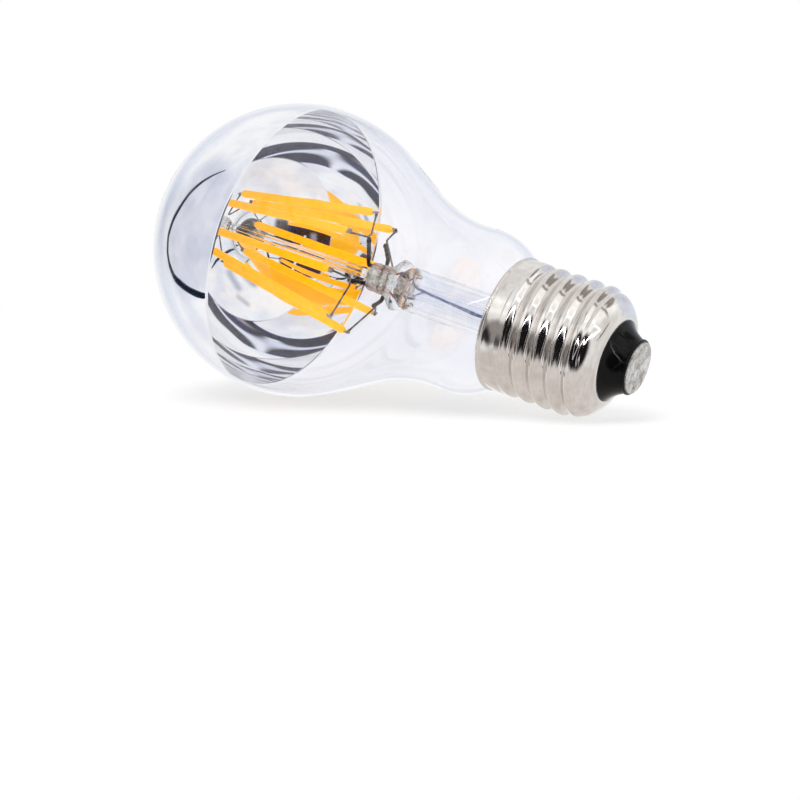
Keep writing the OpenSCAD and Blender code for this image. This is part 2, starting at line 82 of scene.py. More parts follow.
def make_camera():
    th = math.radians(CAM_ANGLE)
    globe = Vector((0, 0, GLOBE_Z))
    back = Vector((math.sin(th), 0, -math.cos(th)))
    right = Vector((0, 0, 1)).cross(back).normalized()
    up = back.cross(right)
    aim = Matrix((right, up, back)).transposed()
    roll = Matrix.Rotation(math.radians(CAM_ROLL), 3, "Z")
    half = PICTURE_PX / 2
    ray = Vector(((GLOBE_PX[0] - half) / CAM_FOCAL_PX, (half - GLOBE_PX[1]) / CAM_FOCAL_PX, -1))
    turn = ray.rotation_difference(Vector((0, 0, -1))).to_matrix()
    data = bpy.data.cameras.new("camera")
    data.lens = CAM_FOCAL_PX / PICTURE_PX * data.sensor_width
    data.clip_start, data.clip_end = 0.01, 20
    camera = bpy.data.objects.new("camera", data)
    scene.collection.objects.link(camera)
    place = (aim @ roll @ turn).to_4x4()
    place.translation = (globe + back * CAM_DISTANCE) * MM
    camera.matrix_world = place
    scene.camera = camera
    return place


camera_place = make_camera()
CAM_RIGHT = camera_place.to_3x3() @ Vector((1, 0, 0))
CAM_UP = camera_place.to_3x3() @ Vector((0, 1, 0))
CAM_BACK = camera_place.to_3x3() @ Vector((0, 0, 1))


# Mesh helpers. All points are in millimetres.
def new_mesh(name, points, faces, smooth=True):
    mesh = bpy.data.meshes.new(name)
    mesh.from_pydata([Vector(p) * MM for p in points], [], faces)
    mesh.validate()
    if smooth:
        mesh.shade_smooth()
    piece = bpy.data.objects.new(name, mesh)
    scene.collection.objects.link(piece)
    return piece


def grid_faces(rings, count, closed=False):
    faces = []
    for i in range(rings if closed else rings - 1):
        k = (i + 1) % rings
        for j in range(count):
            n = (j + 1) % count
            faces.append((i * count + j, i * count + n, k * count + n, k * count + j))
    return faces


def lathe(name, profile, sectors, closed=True):
    """A turned solid from (r, z) points. The outline runs anticlockwise with r to the right."""
    points, faces, rows = [], [], []
    for r, z in profile:
        if r < 1e-6:
            rows.append([len(points)] * sectors)
            points.append((0, 0, z))
        else:
            rows.append([len(points) + j for j in range(sectors)])
            for j in range(sectors):
                a = 2 * math.pi * j / sectors
                points.append((r * math.cos(a), r * math.sin(a), z))
    count = len(rows)
    for i in range(count if closed else count - 1):
        low, high = rows[i], rows[(i + 1) % count]
        for j in range(sectors):
            n = (j + 1) % sectors
            face = [low[j], low[n], high[n], high[j]]
            face = [v for k, v in enumerate(face) if v not in face[:k]]
            if len(face) > 2:
                faces.append(face)
    return new_mesh(name, points, faces)


def arc(centre, radius, start, end, steps):
    return [(centre[0] + radius * math.cos(math.radians(start + (end - start) * i / steps)),
             centre[1] + radius * math.sin(math.radians(start + (end - start) * i / steps)))
            for i in range(steps + 1)]


def bent(points, bend):
    """The route with each corner rounded to a curve that starts at most bend from it."""
    out = [points[0]]
    for i in range(1, len(points) - 1):
        before, after = points[i - 1] - points[i], points[i + 1] - points[i]
        a = points[i] + before.normalized() * min(bend, 0.45 * before.length)
        b = points[i] + after.normalized() * min(bend, 0.45 * after.length)
        for k in range(7):
            u = k / 6
            out.append((1 - u) ** 2 * a + 2 * u * (1 - u) * points[i] + u * u * b)
    return out + [points[-1]]


def tube(name, points, radius, sides=16, bend=0.9, radii=None):
    """A wire along a route, with rounded ends. radii gives a radius for each point of the route."""
    path = bent([Vector(p) for p in points], bend) if radii is None else [Vector(p) for p in points]
    sizes = [radius] * len(path) if radii is None else list(radii)
    first, last = (path[0] - path[1]).normalized(), (path[-1] - path[-2]).normalized()
    r0, r1 = sizes[0], sizes[-1]
    caps = ((0.0, 0.98), (0.5, 0.8), (0.86, 0.45))
    path = ([path[0] + first * r0 * a for a, b in reversed(caps)] + path[1:-1]
            + [path[-1] + last * r1 * a for a, b in caps])
    sizes = ([r0 * b for a, b in reversed(caps)] + sizes[1:-1] + [r1 * b for a, b in caps])
    count = len(path)
    side = first.orthogonal().normalized()
    out = []
    for i in range(count):
        t = (path[min(i + 1, count - 1)] - path[max(i - 1, 0)]).normalized()
        side = (side - side.dot(t) * t).normalized()
        other = t.cross(side)
        for j in range(sides):
            a = 2 * math.pi * j / sides
            out.append(path[i] + sizes[i] * (math.cos(a) * side + math.sin(a) * other))
    faces = grid_faces(count, sides)
    faces.append(tuple(reversed(range(sides))))
    faces.append(tuple(range((count - 1) * sides, count * sides)))
    return new_mesh(name, out, faces)


def polar(r, degrees, z):
    a = math.radians(degrees)
    return Vector((r * math.cos(a), r * math.sin(a), z))


# Material helpers
def material(name, colour, metallic=0.0, roughness=0.5, **sockets):
    mat = bpy.data.materials.new(name)
    mat.use_nodes = True
    shader = mat.node_tree.nodes["Principled BSDF"]
    shader.inputs["Base Color"].default_value = (*colour, 1)
    shader.inputs["Metallic"].default_value = metallic
    shader.inputs["Roughness"].default_value = roughness
    for key, value in sockets.items():
        shader.inputs[key.replace("_", " ")].default_value = value
    return mat


def node(mat, kind, inputs=None, **settings):
    made = mat.node_tree.nodes.new(kind)
    for key, value in settings.items():
        setattr(made, key, value)
    for key, value in (inputs or {}).items():
        if isinstance(value, bpy.types.NodeSocket):
            mat.node_tree.links.new(value, made.inputs[key])
        else:
            made.inputs[key].default_value = value
    return made


def shader_of(mat):
    return mat.node_tree.nodes["Principled BSDF"]


def link(mat, socket, target):
    mat.node_tree.links.new(socket, shader_of(mat).inputs[target])


def place_coords(mat, scale=(1, 1, 1)):
    coords = node(mat, "ShaderNodeTexCoord")
    mapping = node(mat, "ShaderNodeMapping", {"Vector": coords.outputs["Object"], "Scale": scale})
    return mapping.outputs["Vector"]


def noise(mat, vector, scale, detail=4.0, roughness=0.55, distortion=0.0):
    return node(mat, "ShaderNodeTexNoise", {
        "Vector": vector, "Scale": scale, "Detail": detail, "Roughness": roughness,
        "Distortion": distortion}).outputs["Fac"]


def ramp(mat, fac, stops):
    made = node(mat, "ShaderNodeValToRGB", {"Fac": fac})
    elements = made.color_ramp.elements
    while len(elements) > 1:
        elements.remove(elements[-1])
    elements[0].position, elements[0].color = stops[0][0], (*stops[0][1], 1)
    for position, colour in stops[1:]:
        elements.new(position).color = (*colour, 1)
    return made.outputs["Color"]


def span(mat, value, from_low, from_high, to_low, to_high):
    return node(mat, "ShaderNodeMapRange", {"Value": value, "From Min": from_low, "From Max": from_high,
                                            "To Min": to_low, "To Max": to_high}).outputs["Result"]


def bump(mat, height, distance, strength=1.0, normal=None):
    inputs = {"Height": height, "Distance": distance, "Strength": strength}
    if normal is not None:
        inputs["Normal"] = normal
    return node(mat, "ShaderNodeBump", inputs).outputs["Normal"]


def grey(value):
    return (value, value, value)


def glass(name, colour, ior=1.5, wave=0.00002):
    mat = material(name, colour, roughness=0.0, IOR=ior, Transmission_Weight=1.0)
    place = place_coords(mat)
    height = noise(mat, place, 55.0, detail=1.0)
    link(mat, bump(mat, height, wave), "Normal")
    return mat


def within(mat, value, low, high, soft):
    """1 where the value lies between low and high, in metres, with soft ends."""
    rise = span(mat, value, low - soft, low + soft, 0.0, 1.0)
    fall = span(mat, value, high - soft, high + soft, 1.0, 0.0)
    return node(mat, "ShaderNodeMath", {0: rise, 1: fall}, operation="MULTIPLY").outputs[0]


def crinkled_glass(name, colour, low, high):
    """Stem glass that is clear, and crinkled and tinted where it was squeezed, from z low to high."""
    mat = glass(name, colour, wave=0.00004)
    place = place_coords(mat)
    height = node(mat, "ShaderNodeSeparateXYZ", {"Vector": place}).outputs["Z"]
    squeezed = within(mat, height, low * MM, high * MM, 0.5 * MM)
    folds = noise(mat, place_coords(mat, (1, 1, 0.45)), 620.0, detail=4.0, distortion=2.4)
    crinkle = node(mat, "ShaderNodeMath", {0: folds, 1: squeezed}, operation="MULTIPLY").outputs[0]
    waves = bump(mat, noise(mat, place, 60.0, detail=1.0), 0.00004)
    link(mat, bump(mat, crinkle, 0.0008, normal=waves), "Normal")
    tint = ramp(mat, folds, [(0.32, (0.2, 0.14, 0.1)), (0.39, (0.9, 0.94, 0.9)), (0.5, (1, 1, 1)),
                             (0.6, (0.84, 0.93, 0.82)), (0.66, (0.4, 0.48, 0.38))])
    link(mat, node(mat, "ShaderNodeMix", {"Factor": squeezed, 6: (*colour, 1), 7: tint},
                   data_type="RGBA").outputs[2], "Base Color")
    return mat


CLEAR_GLASS = glass("clear_glass", (0.99, 0.993, 1.0), ior=1.4)
STEM_GLASS = crinkled_glass("stem_glass", (0.97, 0.98, 1.0), PRESS_BOTTOM + 1.2, PRESS_TOP + 0.3)
BEAD_GLASS = crinkled_glass("bead_glass", (1.0, 0.95, 0.93), BUTTON_Z - BUTTON_R, BUTTON_Z + BUTTON_R)


def silvering():
    mat = material("silvering", (0.93, 0.94, 0.96), metallic=1.0, roughness=0.02)
    place = place_coords(mat)
    cloud = noise(mat, place, 70.0, detail=3.0)
    link(mat, ramp(mat, cloud, [(0.3, (0.86, 0.87, 0.9)), (0.6, (0.95, 0.95, 0.96))]), "Base Color")
    link(mat, bump(mat, noise(mat, place, 45.0, detail=1.0), 0.00005), "Normal")
    return mat


def amber_with_painted_glow():
    # Amber phosphor coat with a random grain. Its emission is a painted glow that brightens the unlit
    # filaments in place of the light that the glass keeps from them.
    mat = material("phosphor", (1.0, 0.42, 0.02), roughness=0.35, Emission_Color=(1.0, 0.42, 0.002, 1.0),
                   Emission_Strength=0.7)
    place = place_coords(mat)
    grain = noise(mat, place, 700.0, detail=3.0)
    link(mat, ramp(mat, grain, [(0.3, (1.0, 0.5, 0.003)), (0.7, (1.0, 0.64, 0.008))]), "Base Color")
    link(mat, bump(mat, grain, 0.00004), "Normal")
    return mat


def wire_metal(name, low, high, roughness, sealed=False):
    """Stained wire. A sealed wire has a coppery skin where it runs in the glass of the pinch."""
    mat = material(name, high, metallic=1.0, roughness=roughness)
    place = place_coords(mat)
    stain = noise(mat, place, 900.0, detail=4.0)
    colour = ramp(mat, stain, [(0.35, low), (0.65, high)])
    if sealed:
        at = node(mat, "ShaderNodeSeparateXYZ", {"Vector": place})
        inside = node(mat, "ShaderNodeMath", {
            0: within(mat, at.outputs["Y"], -3.05 * MM, 3.05 * MM, 0.1 * MM),
            1: within(mat, at.outputs["Z"], PRESS_BOTTOM * MM, (PRESS_TOP - 0.2) * MM, 0.2 * MM)},
            operation="MULTIPLY").outputs[0]
        copper = ramp(mat, stain, [(0.35, (0.3, 0.06, 0.03)), (0.65, (0.7, 0.2, 0.1))])
        colour = node(mat, "ShaderNodeMix", {"Factor": inside, 6: colour, 7: copper},
                      data_type="RGBA").outputs[2]
    link(mat, colour, "Base Color")
    wear = noise(mat, place, 2500.0)
    link(mat, span(mat, wear, 0.3, 0.7, roughness - 0.1, roughness + 0.15), "Roughness")
    link(mat, bump(mat, stain, 0.00003), "Normal")
    return mat


def nickel():
    """Thin bright plating: cloudy, slightly wavy, with a few dark specks."""
    mat = material("cap_nickel", (0.74, 0.72, 0.69), metallic=1.0, roughness=0.08)
    place = place_coords(mat)
    cloud = noise(mat, place, 160.0, detail=5.0)
    plating = ramp(mat, cloud, [(0.3, (0.66, 0.62, 0.58)), (0.7, (0.8, 0.78, 0.76))])
    cell = node(mat, "ShaderNodeTexVoronoi", {"Vector": place, "Scale": 210.0})
    spot = span(mat, cell.outputs["Distance"], 0.035, 0.07, 1.0, 0.0)
    chosen = node(mat, "ShaderNodeSeparateColor", {"Color": cell.outputs["Color"]})
    rare = node(mat, "ShaderNodeMath", {0: chosen.outputs["Red"], 1: 0.9}, operation="GREATER_THAN")
    speck = node(mat, "ShaderNodeMath", {0: spot, 1: rare.outputs[0]}, operation="MULTIPLY")
    mixed = node(mat, "ShaderNodeMix", {
        "Factor": speck.outputs[0], 6: plating, 7: (0.05, 0.035, 0.03, 1)}, data_type="RGBA")
    link(mat, mixed.outputs[2], "Base Color")
    link(mat, span(mat, cloud, 0.3, 0.7, 0.05, 0.11), "Roughness")
    waves = bump(mat, noise(mat, place, 90.0, detail=2.0), 0.00003)
    grain = noise(mat, place, 1400.0, detail=2.0, roughness=0.4)
    link(mat, bump(mat, grain, 0.000006, normal=waves), "Normal")
    return mat


def solid(name, low, high, scale, roughness, height=0.00005, metallic=0.0, **sockets):
    """A plain surface with a mottled colour and a fine grain."""
    mat = material(name, high, metallic=metallic, roughness=roughness, **sockets)
    place = place_coords(mat)
    grain = noise(mat, place, scale, detail=5.0)
    link(mat, ramp(mat, grain, [(0.3, low), (0.7, high)]), "Base Color")
    link(mat, bump(mat, grain, height), "Normal")
    return mat


def scuffed(name, low, high):
    """Bright metal that was soldered and pressed against springs: pitted, scratched, with burnt spots."""
    mat = material(name, high, metallic=1.0, roughness=0.3)
    place = place_coords(mat)
    patches = noise(mat, place, 520.0, detail=7.0, roughness=0.72, distortion=0.6)
    scratches = noise(mat, place_coords(mat, (1, 7, 1)), 700.0, detail=3.0)
    link(mat, ramp(mat, patches, [(0.33, (0.03, 0.02, 0.015)), (0.38, (0.42, 0.33, 0.22)), (0.45, low),
                                  (0.6, high)]), "Base Color")
    link(mat, span(mat, patches, 0.35, 0.6, 0.5, 0.2), "Roughness")
    pitted = bump(mat, patches, 0.0004)
    link(mat, bump(mat, scratches, 0.0001, normal=pitted), "Normal")
    return mat


SILVER = silvering()
AMBER_WITH_PAINTED_GLOW = amber_with_painted_glow()
TAB_METAL = wire_metal("tab_metal", (0.3, 0.27, 0.24), (0.62, 0.6, 0.57), 0.35)
SUPPORT_METAL = wire_metal("support_metal", (0.015, 0.012, 0.012), (0.09, 0.08, 0.08), 0.4)
LINK_METAL = wire_metal("link_metal", (0.09, 0.07, 0.065), (0.36, 0.32, 0.31), 0.35)
LEAD_METAL = wire_metal("lead_metal", (0.08, 0.1, 0.26), (0.4, 0.43, 0.6), 0.3, sealed=True)
NICKEL = nickel()
VITRITE = solid("black_vitrite", grey(0.002), grey(0.004), 500.0, 0.06, 0.00003, Specular_IOR_Level=0.13)
CONTACT_METAL = scuffed("contact_metal", (0.5, 0.49, 0.47), (0.84, 0.83, 0.81))
SOLDER = scuffed("solder", (0.42, 0.41, 0.4), (0.9, 0.89, 0.87))
CEMENT = solid("cement", (0.55, 0.52, 0.45), (0.7, 0.67, 0.6), 900.0, 0.9)
BOARD = solid("board_laminate", (0.01, 0.09, 0.04), (0.02, 0.14, 0.06), 800.0, 0.4)
CHIP = solid("chip_plastic", grey(0.01), grey(0.02), 2500.0, 0.6)
SLEEVE = solid("capacitor_sleeve", (0.01, 0.02, 0.08), (0.02, 0.03, 0.12), 300.0, 0.3)
RESISTOR = solid("resistor_body", (0.12, 0.3, 0.22), (0.18, 0.4, 0.3), 600.0, 0.5)
COPPER = solid("copper_wire", (0.5, 0.18, 0.08), (0.75, 0.32, 0.16), 900.0, 0.3, metallic=1.0)


def dress(piece, mat, slot, *replaced):
    piece.data.materials.clear()
    piece.data.materials.append(mat)
    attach(piece, "root")
    if replaced:
        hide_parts(*replaced)
    return piece


# Glass envelope: outer skin from the neck's end to the crown, and the inner skin back down
def envelope_line(d):
    """Half outline of the envelope, moved inwards by d, from the neck's end to the crown."""
    rc = ((GLOBE_Z - NECK_Z) ** 2 + NECK_R**2 - GLOBE_R**2 - FLANK_LEN**2) / (2 * (GLOBE_R - NECK_R))
    reach = math.hypot(NECK_R + rc, GLOBE_Z - NECK_Z)
    flank = math.degrees(math.atan2(NECK_Z - GLOBE_Z, NECK_R + rc) + math.acos((GLOBE_R + rc) / reach))
    tuck_x = NECK_R - TUCK_R
    end_r = NECK_END_R - d
    low = -math.degrees(math.acos((end_r - tuck_x) / (TUCK_R - d)))
    return ([(end_r, NECK_END_Z), (end_r, NECK_END_Z + 3)]
            + arc((tuck_x, TUCK_TOP), TUCK_R - d, low, 0, 16)
            + [(a, b) for a, b in arc((NECK_R + rc, NECK_Z), rc + d, 180, 180 + flank, 28)]
            + arc((0, GLOBE_Z), GLOBE_R - d, flank, 90, 72)[:-1] + [(0, GLOBE_Z + GLOBE_R - d)])


def make_glass():
    outline = envelope_line(0) + list(reversed(envelope_line(GLASS_WALL)))
    dress(lathe("glass_envelope", outline, 192), CLEAR_GLASS, "clear_glass", "glass_bulb")


def make_mirror():
    outer = GLOBE_R - GLASS_WALL - GLASS_GAP
    inner = outer - MIRROR_T
    edge = math.degrees(math.asin(MIRROR_EDGE * math.cos(math.radians(MIRROR_TILT)) / outer))
    outline = (arc((0, GLOBE_Z), outer, edge, 90, 64)[:-1] + [(0, GLOBE_Z + outer)]
               + [(0, GLOBE_Z + inner)] + arc((0, GLOBE_Z), inner, 90, edge, 64)[1:])
    crown = lathe("silvered_crown", outline, 192)
    globe = Matrix.Translation((0, 0, GLOBE_Z * MM))
    crown.data.transform(globe @ Matrix.Rotation(math.radians(-MIRROR_TILT), 4, "Y") @ globe.inverted())
    dress(crown, SILVER, "silvering", "mirror_coating")


# Cap shell: the same rolled thread as the solid, on a finer grid
def thread_skin(a, z, d):
    corner_r = THREAD_R - SHOULDER_R
    corner_z = LIP_Z + math.sqrt(SHOULDER_R**2 - (LIP_R - corner_r) ** 2)
    if z > corner_z:
        skin = THREAD_R - d
    else:
        skin = corner_r + math.sqrt((SHOULDER_R - d) ** 2 - (corner_z - z) ** 2)
    fade = min(1.0, max(0.0, (THREAD_TOP - z) / THREAD_FADE), max(0.0, (z - THREAD_LOW) / THREAD_FADE))
    fade = fade * fade * (3 - 2 * fade)
    groove = (1 - math.cos(2 * math.pi * (z - FIRST_CREST) / PITCH - a - math.pi / 2)) / 2
    crease = CREASE * min(1.0, max(0.0, (THREAD_TOP - z) / 0.25))
    return skin - max(THREAD_DEPTH * fade * groove, crease)


def make_cap():
    sectors, rings = 192, 168
    corner_r = THREAD_R - SHOULDER_R
    corner_z = LIP_Z + math.sqrt(SHOULDER_R**2 - (LIP_R - corner_r) ** 2)
    lip = math.acos((LIP_R - corner_r) / SHOULDER_R)
    low = math.asin((corner_z - THREAD_LOW) / SHOULDER_R)
    points = []

    def turned(r, z):
        for j in range(sectors):
            a = 2 * math.pi * j / sectors
            points.append((r * math.cos(a), r * math.sin(a), z))

    def threaded(z, d):
        for j in range(sectors):
            a = 2 * math.pi * j / sectors
            r = thread_skin(a, z, d)
            points.append((r * math.cos(a), r * math.sin(a), z))

    rim_r = THREAD_R + RIM_FLARE
    inner_rim = rim_r - SHELL_WALL
    # Rolled lip round the insulator, then the shoulder
    for t in range(1, 5):
        u = math.pi * (1 - t / 4) * 0.5
        turned(LIP_R - LIP_BEND + LIP_BEND * math.cos(u), LIP_Z + LIP_BEND - LIP_BEND * math.sin(u))
    for i in range(20):
        t = lip + (low - lip) * i / 20
        turned(corner_r + SHOULDER_R * math.cos(t), corner_z - SHOULDER_R * math.sin(t))
    for i in range(rings + 1):
        threaded(THREAD_LOW + (THREAD_TOP - THREAD_LOW) * i / rings, 0)
    # Skirt, flared to the rolled rim
    bead = arc((rim_r - RIM_BEAD_R, CAP_LEN - RIM_BEAD_R - RIM_BEAD_DROP), RIM_BEAD_R, -72, 100, 12)
    for r, z in ([(THREAD_R, 24.9), (THREAD_R, 25.3), (THREAD_R - 0.01, 25.7), (THREAD_R - 0.04, 26.1),
                  (THREAD_R - 0.075, 26.6), (THREAD_R - 0.06, 26.85)] + bead
                 + [(inner_rim, 27.3), (inner_rim - 0.05, 27.0), (THREAD_R - SHELL_WALL, 26.3),
                    (THREAD_R - SHELL_WALL, 25.2)]):
        turned(r, z)
    for i in range(48, -1, -1):
        threaded(THREAD_LOW + (THREAD_TOP - THREAD_LOW) * i / 48, SHELL_WALL)
    inside = SHOULDER_R - SHELL_WALL
    for i in range(6, -1, -1):
        t = lip + (low - lip) * i / 7
        turned(corner_r + inside * math.cos(t), corner_z - inside * math.sin(t))
    faces = grid_faces(len(points) // sectors, sectors, closed=True)
    dress(new_mesh("screw_shell", points, faces), NICKEL, "cap_nickel", "cap_shell")


# Stem: a flare tube that turns out to the neck, squeezed flat at the pinch. Each section of the pinch has
# its half widths in x and y, the power of its rounded outline and its height.
PINCH = (
    (4.35, 4.45, 2.0, 50.5), (3.7, 4.8, 2.1, 51.9), (2.9, 5.15, 2.3, 52.8), (2.3, 5.25, 2.6, 53.4),
    (1.9, 4.7, 2.9, 54.1), (1.7, 3.8, 3.2, 54.8), (1.62, 3.15, 3.4, 55.4), (1.55, 2.95, 3.6, 56.2),
    (1.62, 3.02, 3.6, 57.0), (1.54, 2.9, 3.6, 57.9), (1.62, 2.98, 3.6, 58.8), (1.52, 2.8, 3.4, 59.7),
    (1.3, 2.5, 3.0, 60.25), (0.8, 1.9, 2.6, 60.46), (0.2, 0.5, 2.0, PRESS_TOP),
)


def make_stem():
    sides = 48
    points = []

    def section(half_x, half_y, power, z):
        for j in range(sides):
            a = 2 * math.pi * j / sides
            c, s = math.cos(a), math.sin(a)
            points.append((half_x * math.copysign(abs(c) ** (2 / power), c),
                           half_y * math.copysign(abs(s) ** (2 / power), s), z))

    skirt_r = NECK_END_R - GLASS_WALL - 0.05
    curve = skirt_r - FLARE_R
    seal = TUCK_BOTTOM - FLARE_WALL - SEAL_DROP
    curve_z = seal + FLARE_WALL + curve
    outer = [(skirt_r, skirt_r, 2.0, seal), (skirt_r, skirt_r, 2.0, seal + FLARE_WALL)]
    for i in range(1, 13):
        t = math.radians(90 * i / 12)
        r = FLARE_R + curve - curve * math.sin(t)
        outer.append((r, r, 2.0, curve_z - curve * math.cos(t)))
    outer += [(FLARE_R, FLARE_R, 2.0, 40), (FLARE_R, FLARE_R, 2.0, 48)]
    outer += PINCH
    inner = [(0.05, 0.3, 2.0, 52.6), (0.3, 2.0, 2.0, 52.3), (0.8, 3.1, 2.0, 51.6), (1.9, 3.5, 2.0, 50.4),
             (3.1, 3.5, 2.0, 48.8), (3.5, 3.5, 2.0, 46.5), (3.5, 3.5, 2.0, 40)]
    for i in range(13):
        t = math.radians(90 * (12 - i) / 12)
        r = FLARE_R + curve - (curve + FLARE_WALL) * math.sin(t)
        inner.append((r, r, 2.0, curve_z - (curve + FLARE_WALL) * math.cos(t)))
    for row in outer + inner[:-1]:
        section(*row)
    faces = grid_faces(len(points) // sides, sides, closed=True)
    dress(new_mesh("stem", points, faces), STEM_GLASS, "stem_glass", "stem_flare")


def make_rod():
    top = BUTTON_Z - math.sqrt(BUTTON_R**2 - ROD_R**2)
    outline = [(0, PRESS_TOP + 0.02), (1.25, PRESS_TOP + 0.02), (1.08, PRESS_TOP + 0.5)]
    outline += [(ROD_R, PRESS_TOP + 1.2)]
    outline += [(ROD_R + 0.015 * math.sin(0.9 * k), PRESS_TOP + 1.2 + (top - PRESS_TOP - 1.3) * k / 24)
                for k in range(1, 25)]
    outline += [(ROD_R, top - 0.02), (0, top - 0.02)]
    dress(lathe("crown_rod", outline, 32), STEM_GLASS, "stem_glass", "arbor_rod")
    start = math.degrees(math.asin((top - BUTTON_Z) / BUTTON_R))
    bead = [(0, top)] + arc((0, BUTTON_Z), BUTTON_R, start, 90, 24)
    bead[-1] = (0, BUTTON_Z + BUTTON_R)
    dress(lathe("crown_bead", bead, 40), BEAD_GLASS, "bead_glass", "crown_button")


# Filament cage
def base_end(i):
    return polar(BASE_R, BASE_ANGLE[i], BASE_Z)


def crown_end(i):
    return polar(CROWN_R, CROWN_ANGLE[i], CROWN_Z)


def make_filaments():
    for i in range(8):
        p, q = base_end(i), crown_end(i)
        way = (q - p).normalized()
        count = 60
        route, radii = [], []
        for k in range(count + 1):
            s = END_CUT + FILAMENT_R * 0.75 + (FILAMENT_LEN - 2 * END_CUT - 1.5 * FILAMENT_R) * k / count
            route.append(p + way * s)
            lump = math.sin(0.9 * s + 2.1 * i) + 0.7 * math.sin(2.3 * s + 1.3 * i)
            lump += 0.4 * math.sin(5.1 * s + i)
            radii.append(FILAMENT_R - 0.03 + 0.012 * lump)
        dress(tube(f"filament_coat_{i + 1}", route, FILAMENT_R, sides=24, radii=radii),
              AMBER_WITH_PAINTED_GLOW, "phosphor", f"filament_{i + 1}")


def beyond(p, q, d):
    return q + (q - p).normalized() * d


def welded(p, q, length, radius, angle):
    """Where a thin wire lies against the inner face of a tab."""
    return beyond(p, q, length - WELD_DEPTH) - polar(TAB_T / 2 + radius + WELD_GAP, angle, 0)


def knot(k, out=0.0):
    return polar(KNOT_R[k] + out, SUPPORT_ANGLE[k], PRESS_TOP + KNOT_RISE[k])


def support_route(k):
    beside = SUPPORT_R + LEAD_R + SEAT
    if k < 2:
        y = LEAD_Y if k else -LEAD_Y
        return [(beside, y, PRESS_TOP), (beside, y, PRESS_TOP + KNOT_RISE[k]), knot(k)]
    side, z = (1 if k == 2 else -1), PRESS_TOP - SIDE_DROP[k]
    return [(-beside, -side * LEAD_Y, z), (-beside, side * SIDE_Y, z), knot(k)]


def lumpy_wire(name, route, radius, mat, slot, node_name, seed, bend=0.9, knob=0.0, bead=0.0):
    """A round wire with a slightly uneven surface, a knob on its last end or beads on both ends."""
    path = bent([Vector(p) for p in route], bend)
    fine = [path[0]]
    for p, q in zip(path, path[1:]):
        steps = max(1, int((q - p).length / 0.3))
        fine += [p + (q - p) * i / steps for i in range(1, steps + 1)]
    along, radii = 0.0, []
    total = sum((q - p).length for p, q in zip(fine, fine[1:]))
    for i, p in enumerate(fine):
        if i:
            along += (p - fine[i - 1]).length
        near_end, near_start = total - along, along
        swell = 1 + 0.05 * math.sin(3.1 * along + seed) + 0.04 * math.sin(7.3 * along + 2.3 * seed)
        swell += knob * math.exp(-((near_end - 0.5) / 0.45) ** 2)
        swell += bead * (math.exp(-(near_end / 0.5) ** 2) + math.exp(-(near_start / 0.5) ** 2))
        if abs(p.y) < PRESS_W / 2 and p.z < PRESS_TOP:
            swell *= SEALED_SHARE
        radii.append(radius * swell)
    dress(tube(name, fine, radius, sides=14, radii=radii), mat, slot, node_name)


def make_wires():
    for k in range(4):
        lumpy_wire(f"support_{k + 1}", support_route(k), SUPPORT_R * 0.92, SUPPORT_METAL, "support_metal",
                   f"support_wire_{k + 1}", k, knob=0.25)
        middle = knot(k, SUPPORT_R + LINK_R + SEAT)
        side = polar(KNOT_W, SUPPORT_ANGLE[k] + 90, 0)
        first, last = (welded(crown_end(i), base_end(i), TAB_LEN, LINK_R, BASE_ANGLE[i])
                       for i in SUPPORT_PAIR[k])
        lumpy_wire(f"base_link_{k + 1}", [first, middle - side, middle + side, last], LINK_R, LINK_METAL,
                   "support_metal", f"cross_wire_{k + 1}", k + 4, bend=KNOT_W / 2, bead=0.6)
        first, last = (welded(base_end(i), crown_end(i), CROWN_TAB_LEN, CROWN_LINK_R, CROWN_ANGLE[i])
                       for i in CROWN_PAIR[k])
        middle = (first + last) / 2
        touch = Vector((middle.x, middle.y, 0)).normalized() * (BUTTON_R + CROWN_LINK_R)
        touch.z = BUTTON_Z
        lumpy_wire(f"crown_link_{k + 1}_wire", [first, touch, last], CROWN_LINK_R, LINK_METAL,
                   "support_metal", f"crown_link_{k + 1}", k + 8, bead=0.6)
    seal = TUCK_BOTTOM - FLARE_WALL - SEAL_DROP
    rise = PRESS_BOTTOM - seal
    for k, side in enumerate((1, -1)):
        route = [(side * PIN_R, 0, NECK_END_Z), (side * PIN_R, 0, NECK_END_Z + PIN_H),
                 (side * LEAD_BESIDE, 0, seal), (side * LEAD_BESIDE, -LEAD_SWAY, seal + rise * 0.34),
                 (side * LEAD_BESIDE, LEAD_SWAY, seal + rise * 0.85),
                 (side * LEAD_BESIDE * 0.8, side * LEAD_Y * 0.9, seal + rise * 0.92),
                 (0, side * LEAD_Y, PRESS_BOTTOM - 4 * LEAD_R),
                 (0, side * LEAD_Y, PRESS_TOP + 2 * LEAD_R)]
        lead = tube(f"lead_{k + 1}", route, LEAD_R, sides=12)
        dress(lead, LEAD_METAL, "lead_metal", f"lead_wire_{k + 1}")


make_glass()
make_mirror()
make_cap()
make_stem()
make_rod()
make_filaments()
make_wires()

# Solids whose own shape is shown
CARRIED = {
    "exhaust_tube": STEM_GLASS, "filament_tabs": TAB_METAL,
    "insulator": VITRITE, "contact_eyelet": CONTACT_METAL, "contact_solder": SOLDER,
    "basing_cement": CEMENT, "driver_board": BOARD, "bridge_rectifier": CHIP, "driver_chip": CHIP,
    "filter_capacitor": SLEEVE, "fuse_resistor": RESISTOR, "live_wire": COPPER, "neutral_wire": COPPER,
}
for name, mat in CARRIED.items():
    nodes[name].data.materials.clear()
    nodes[name].data.materials.append(mat)


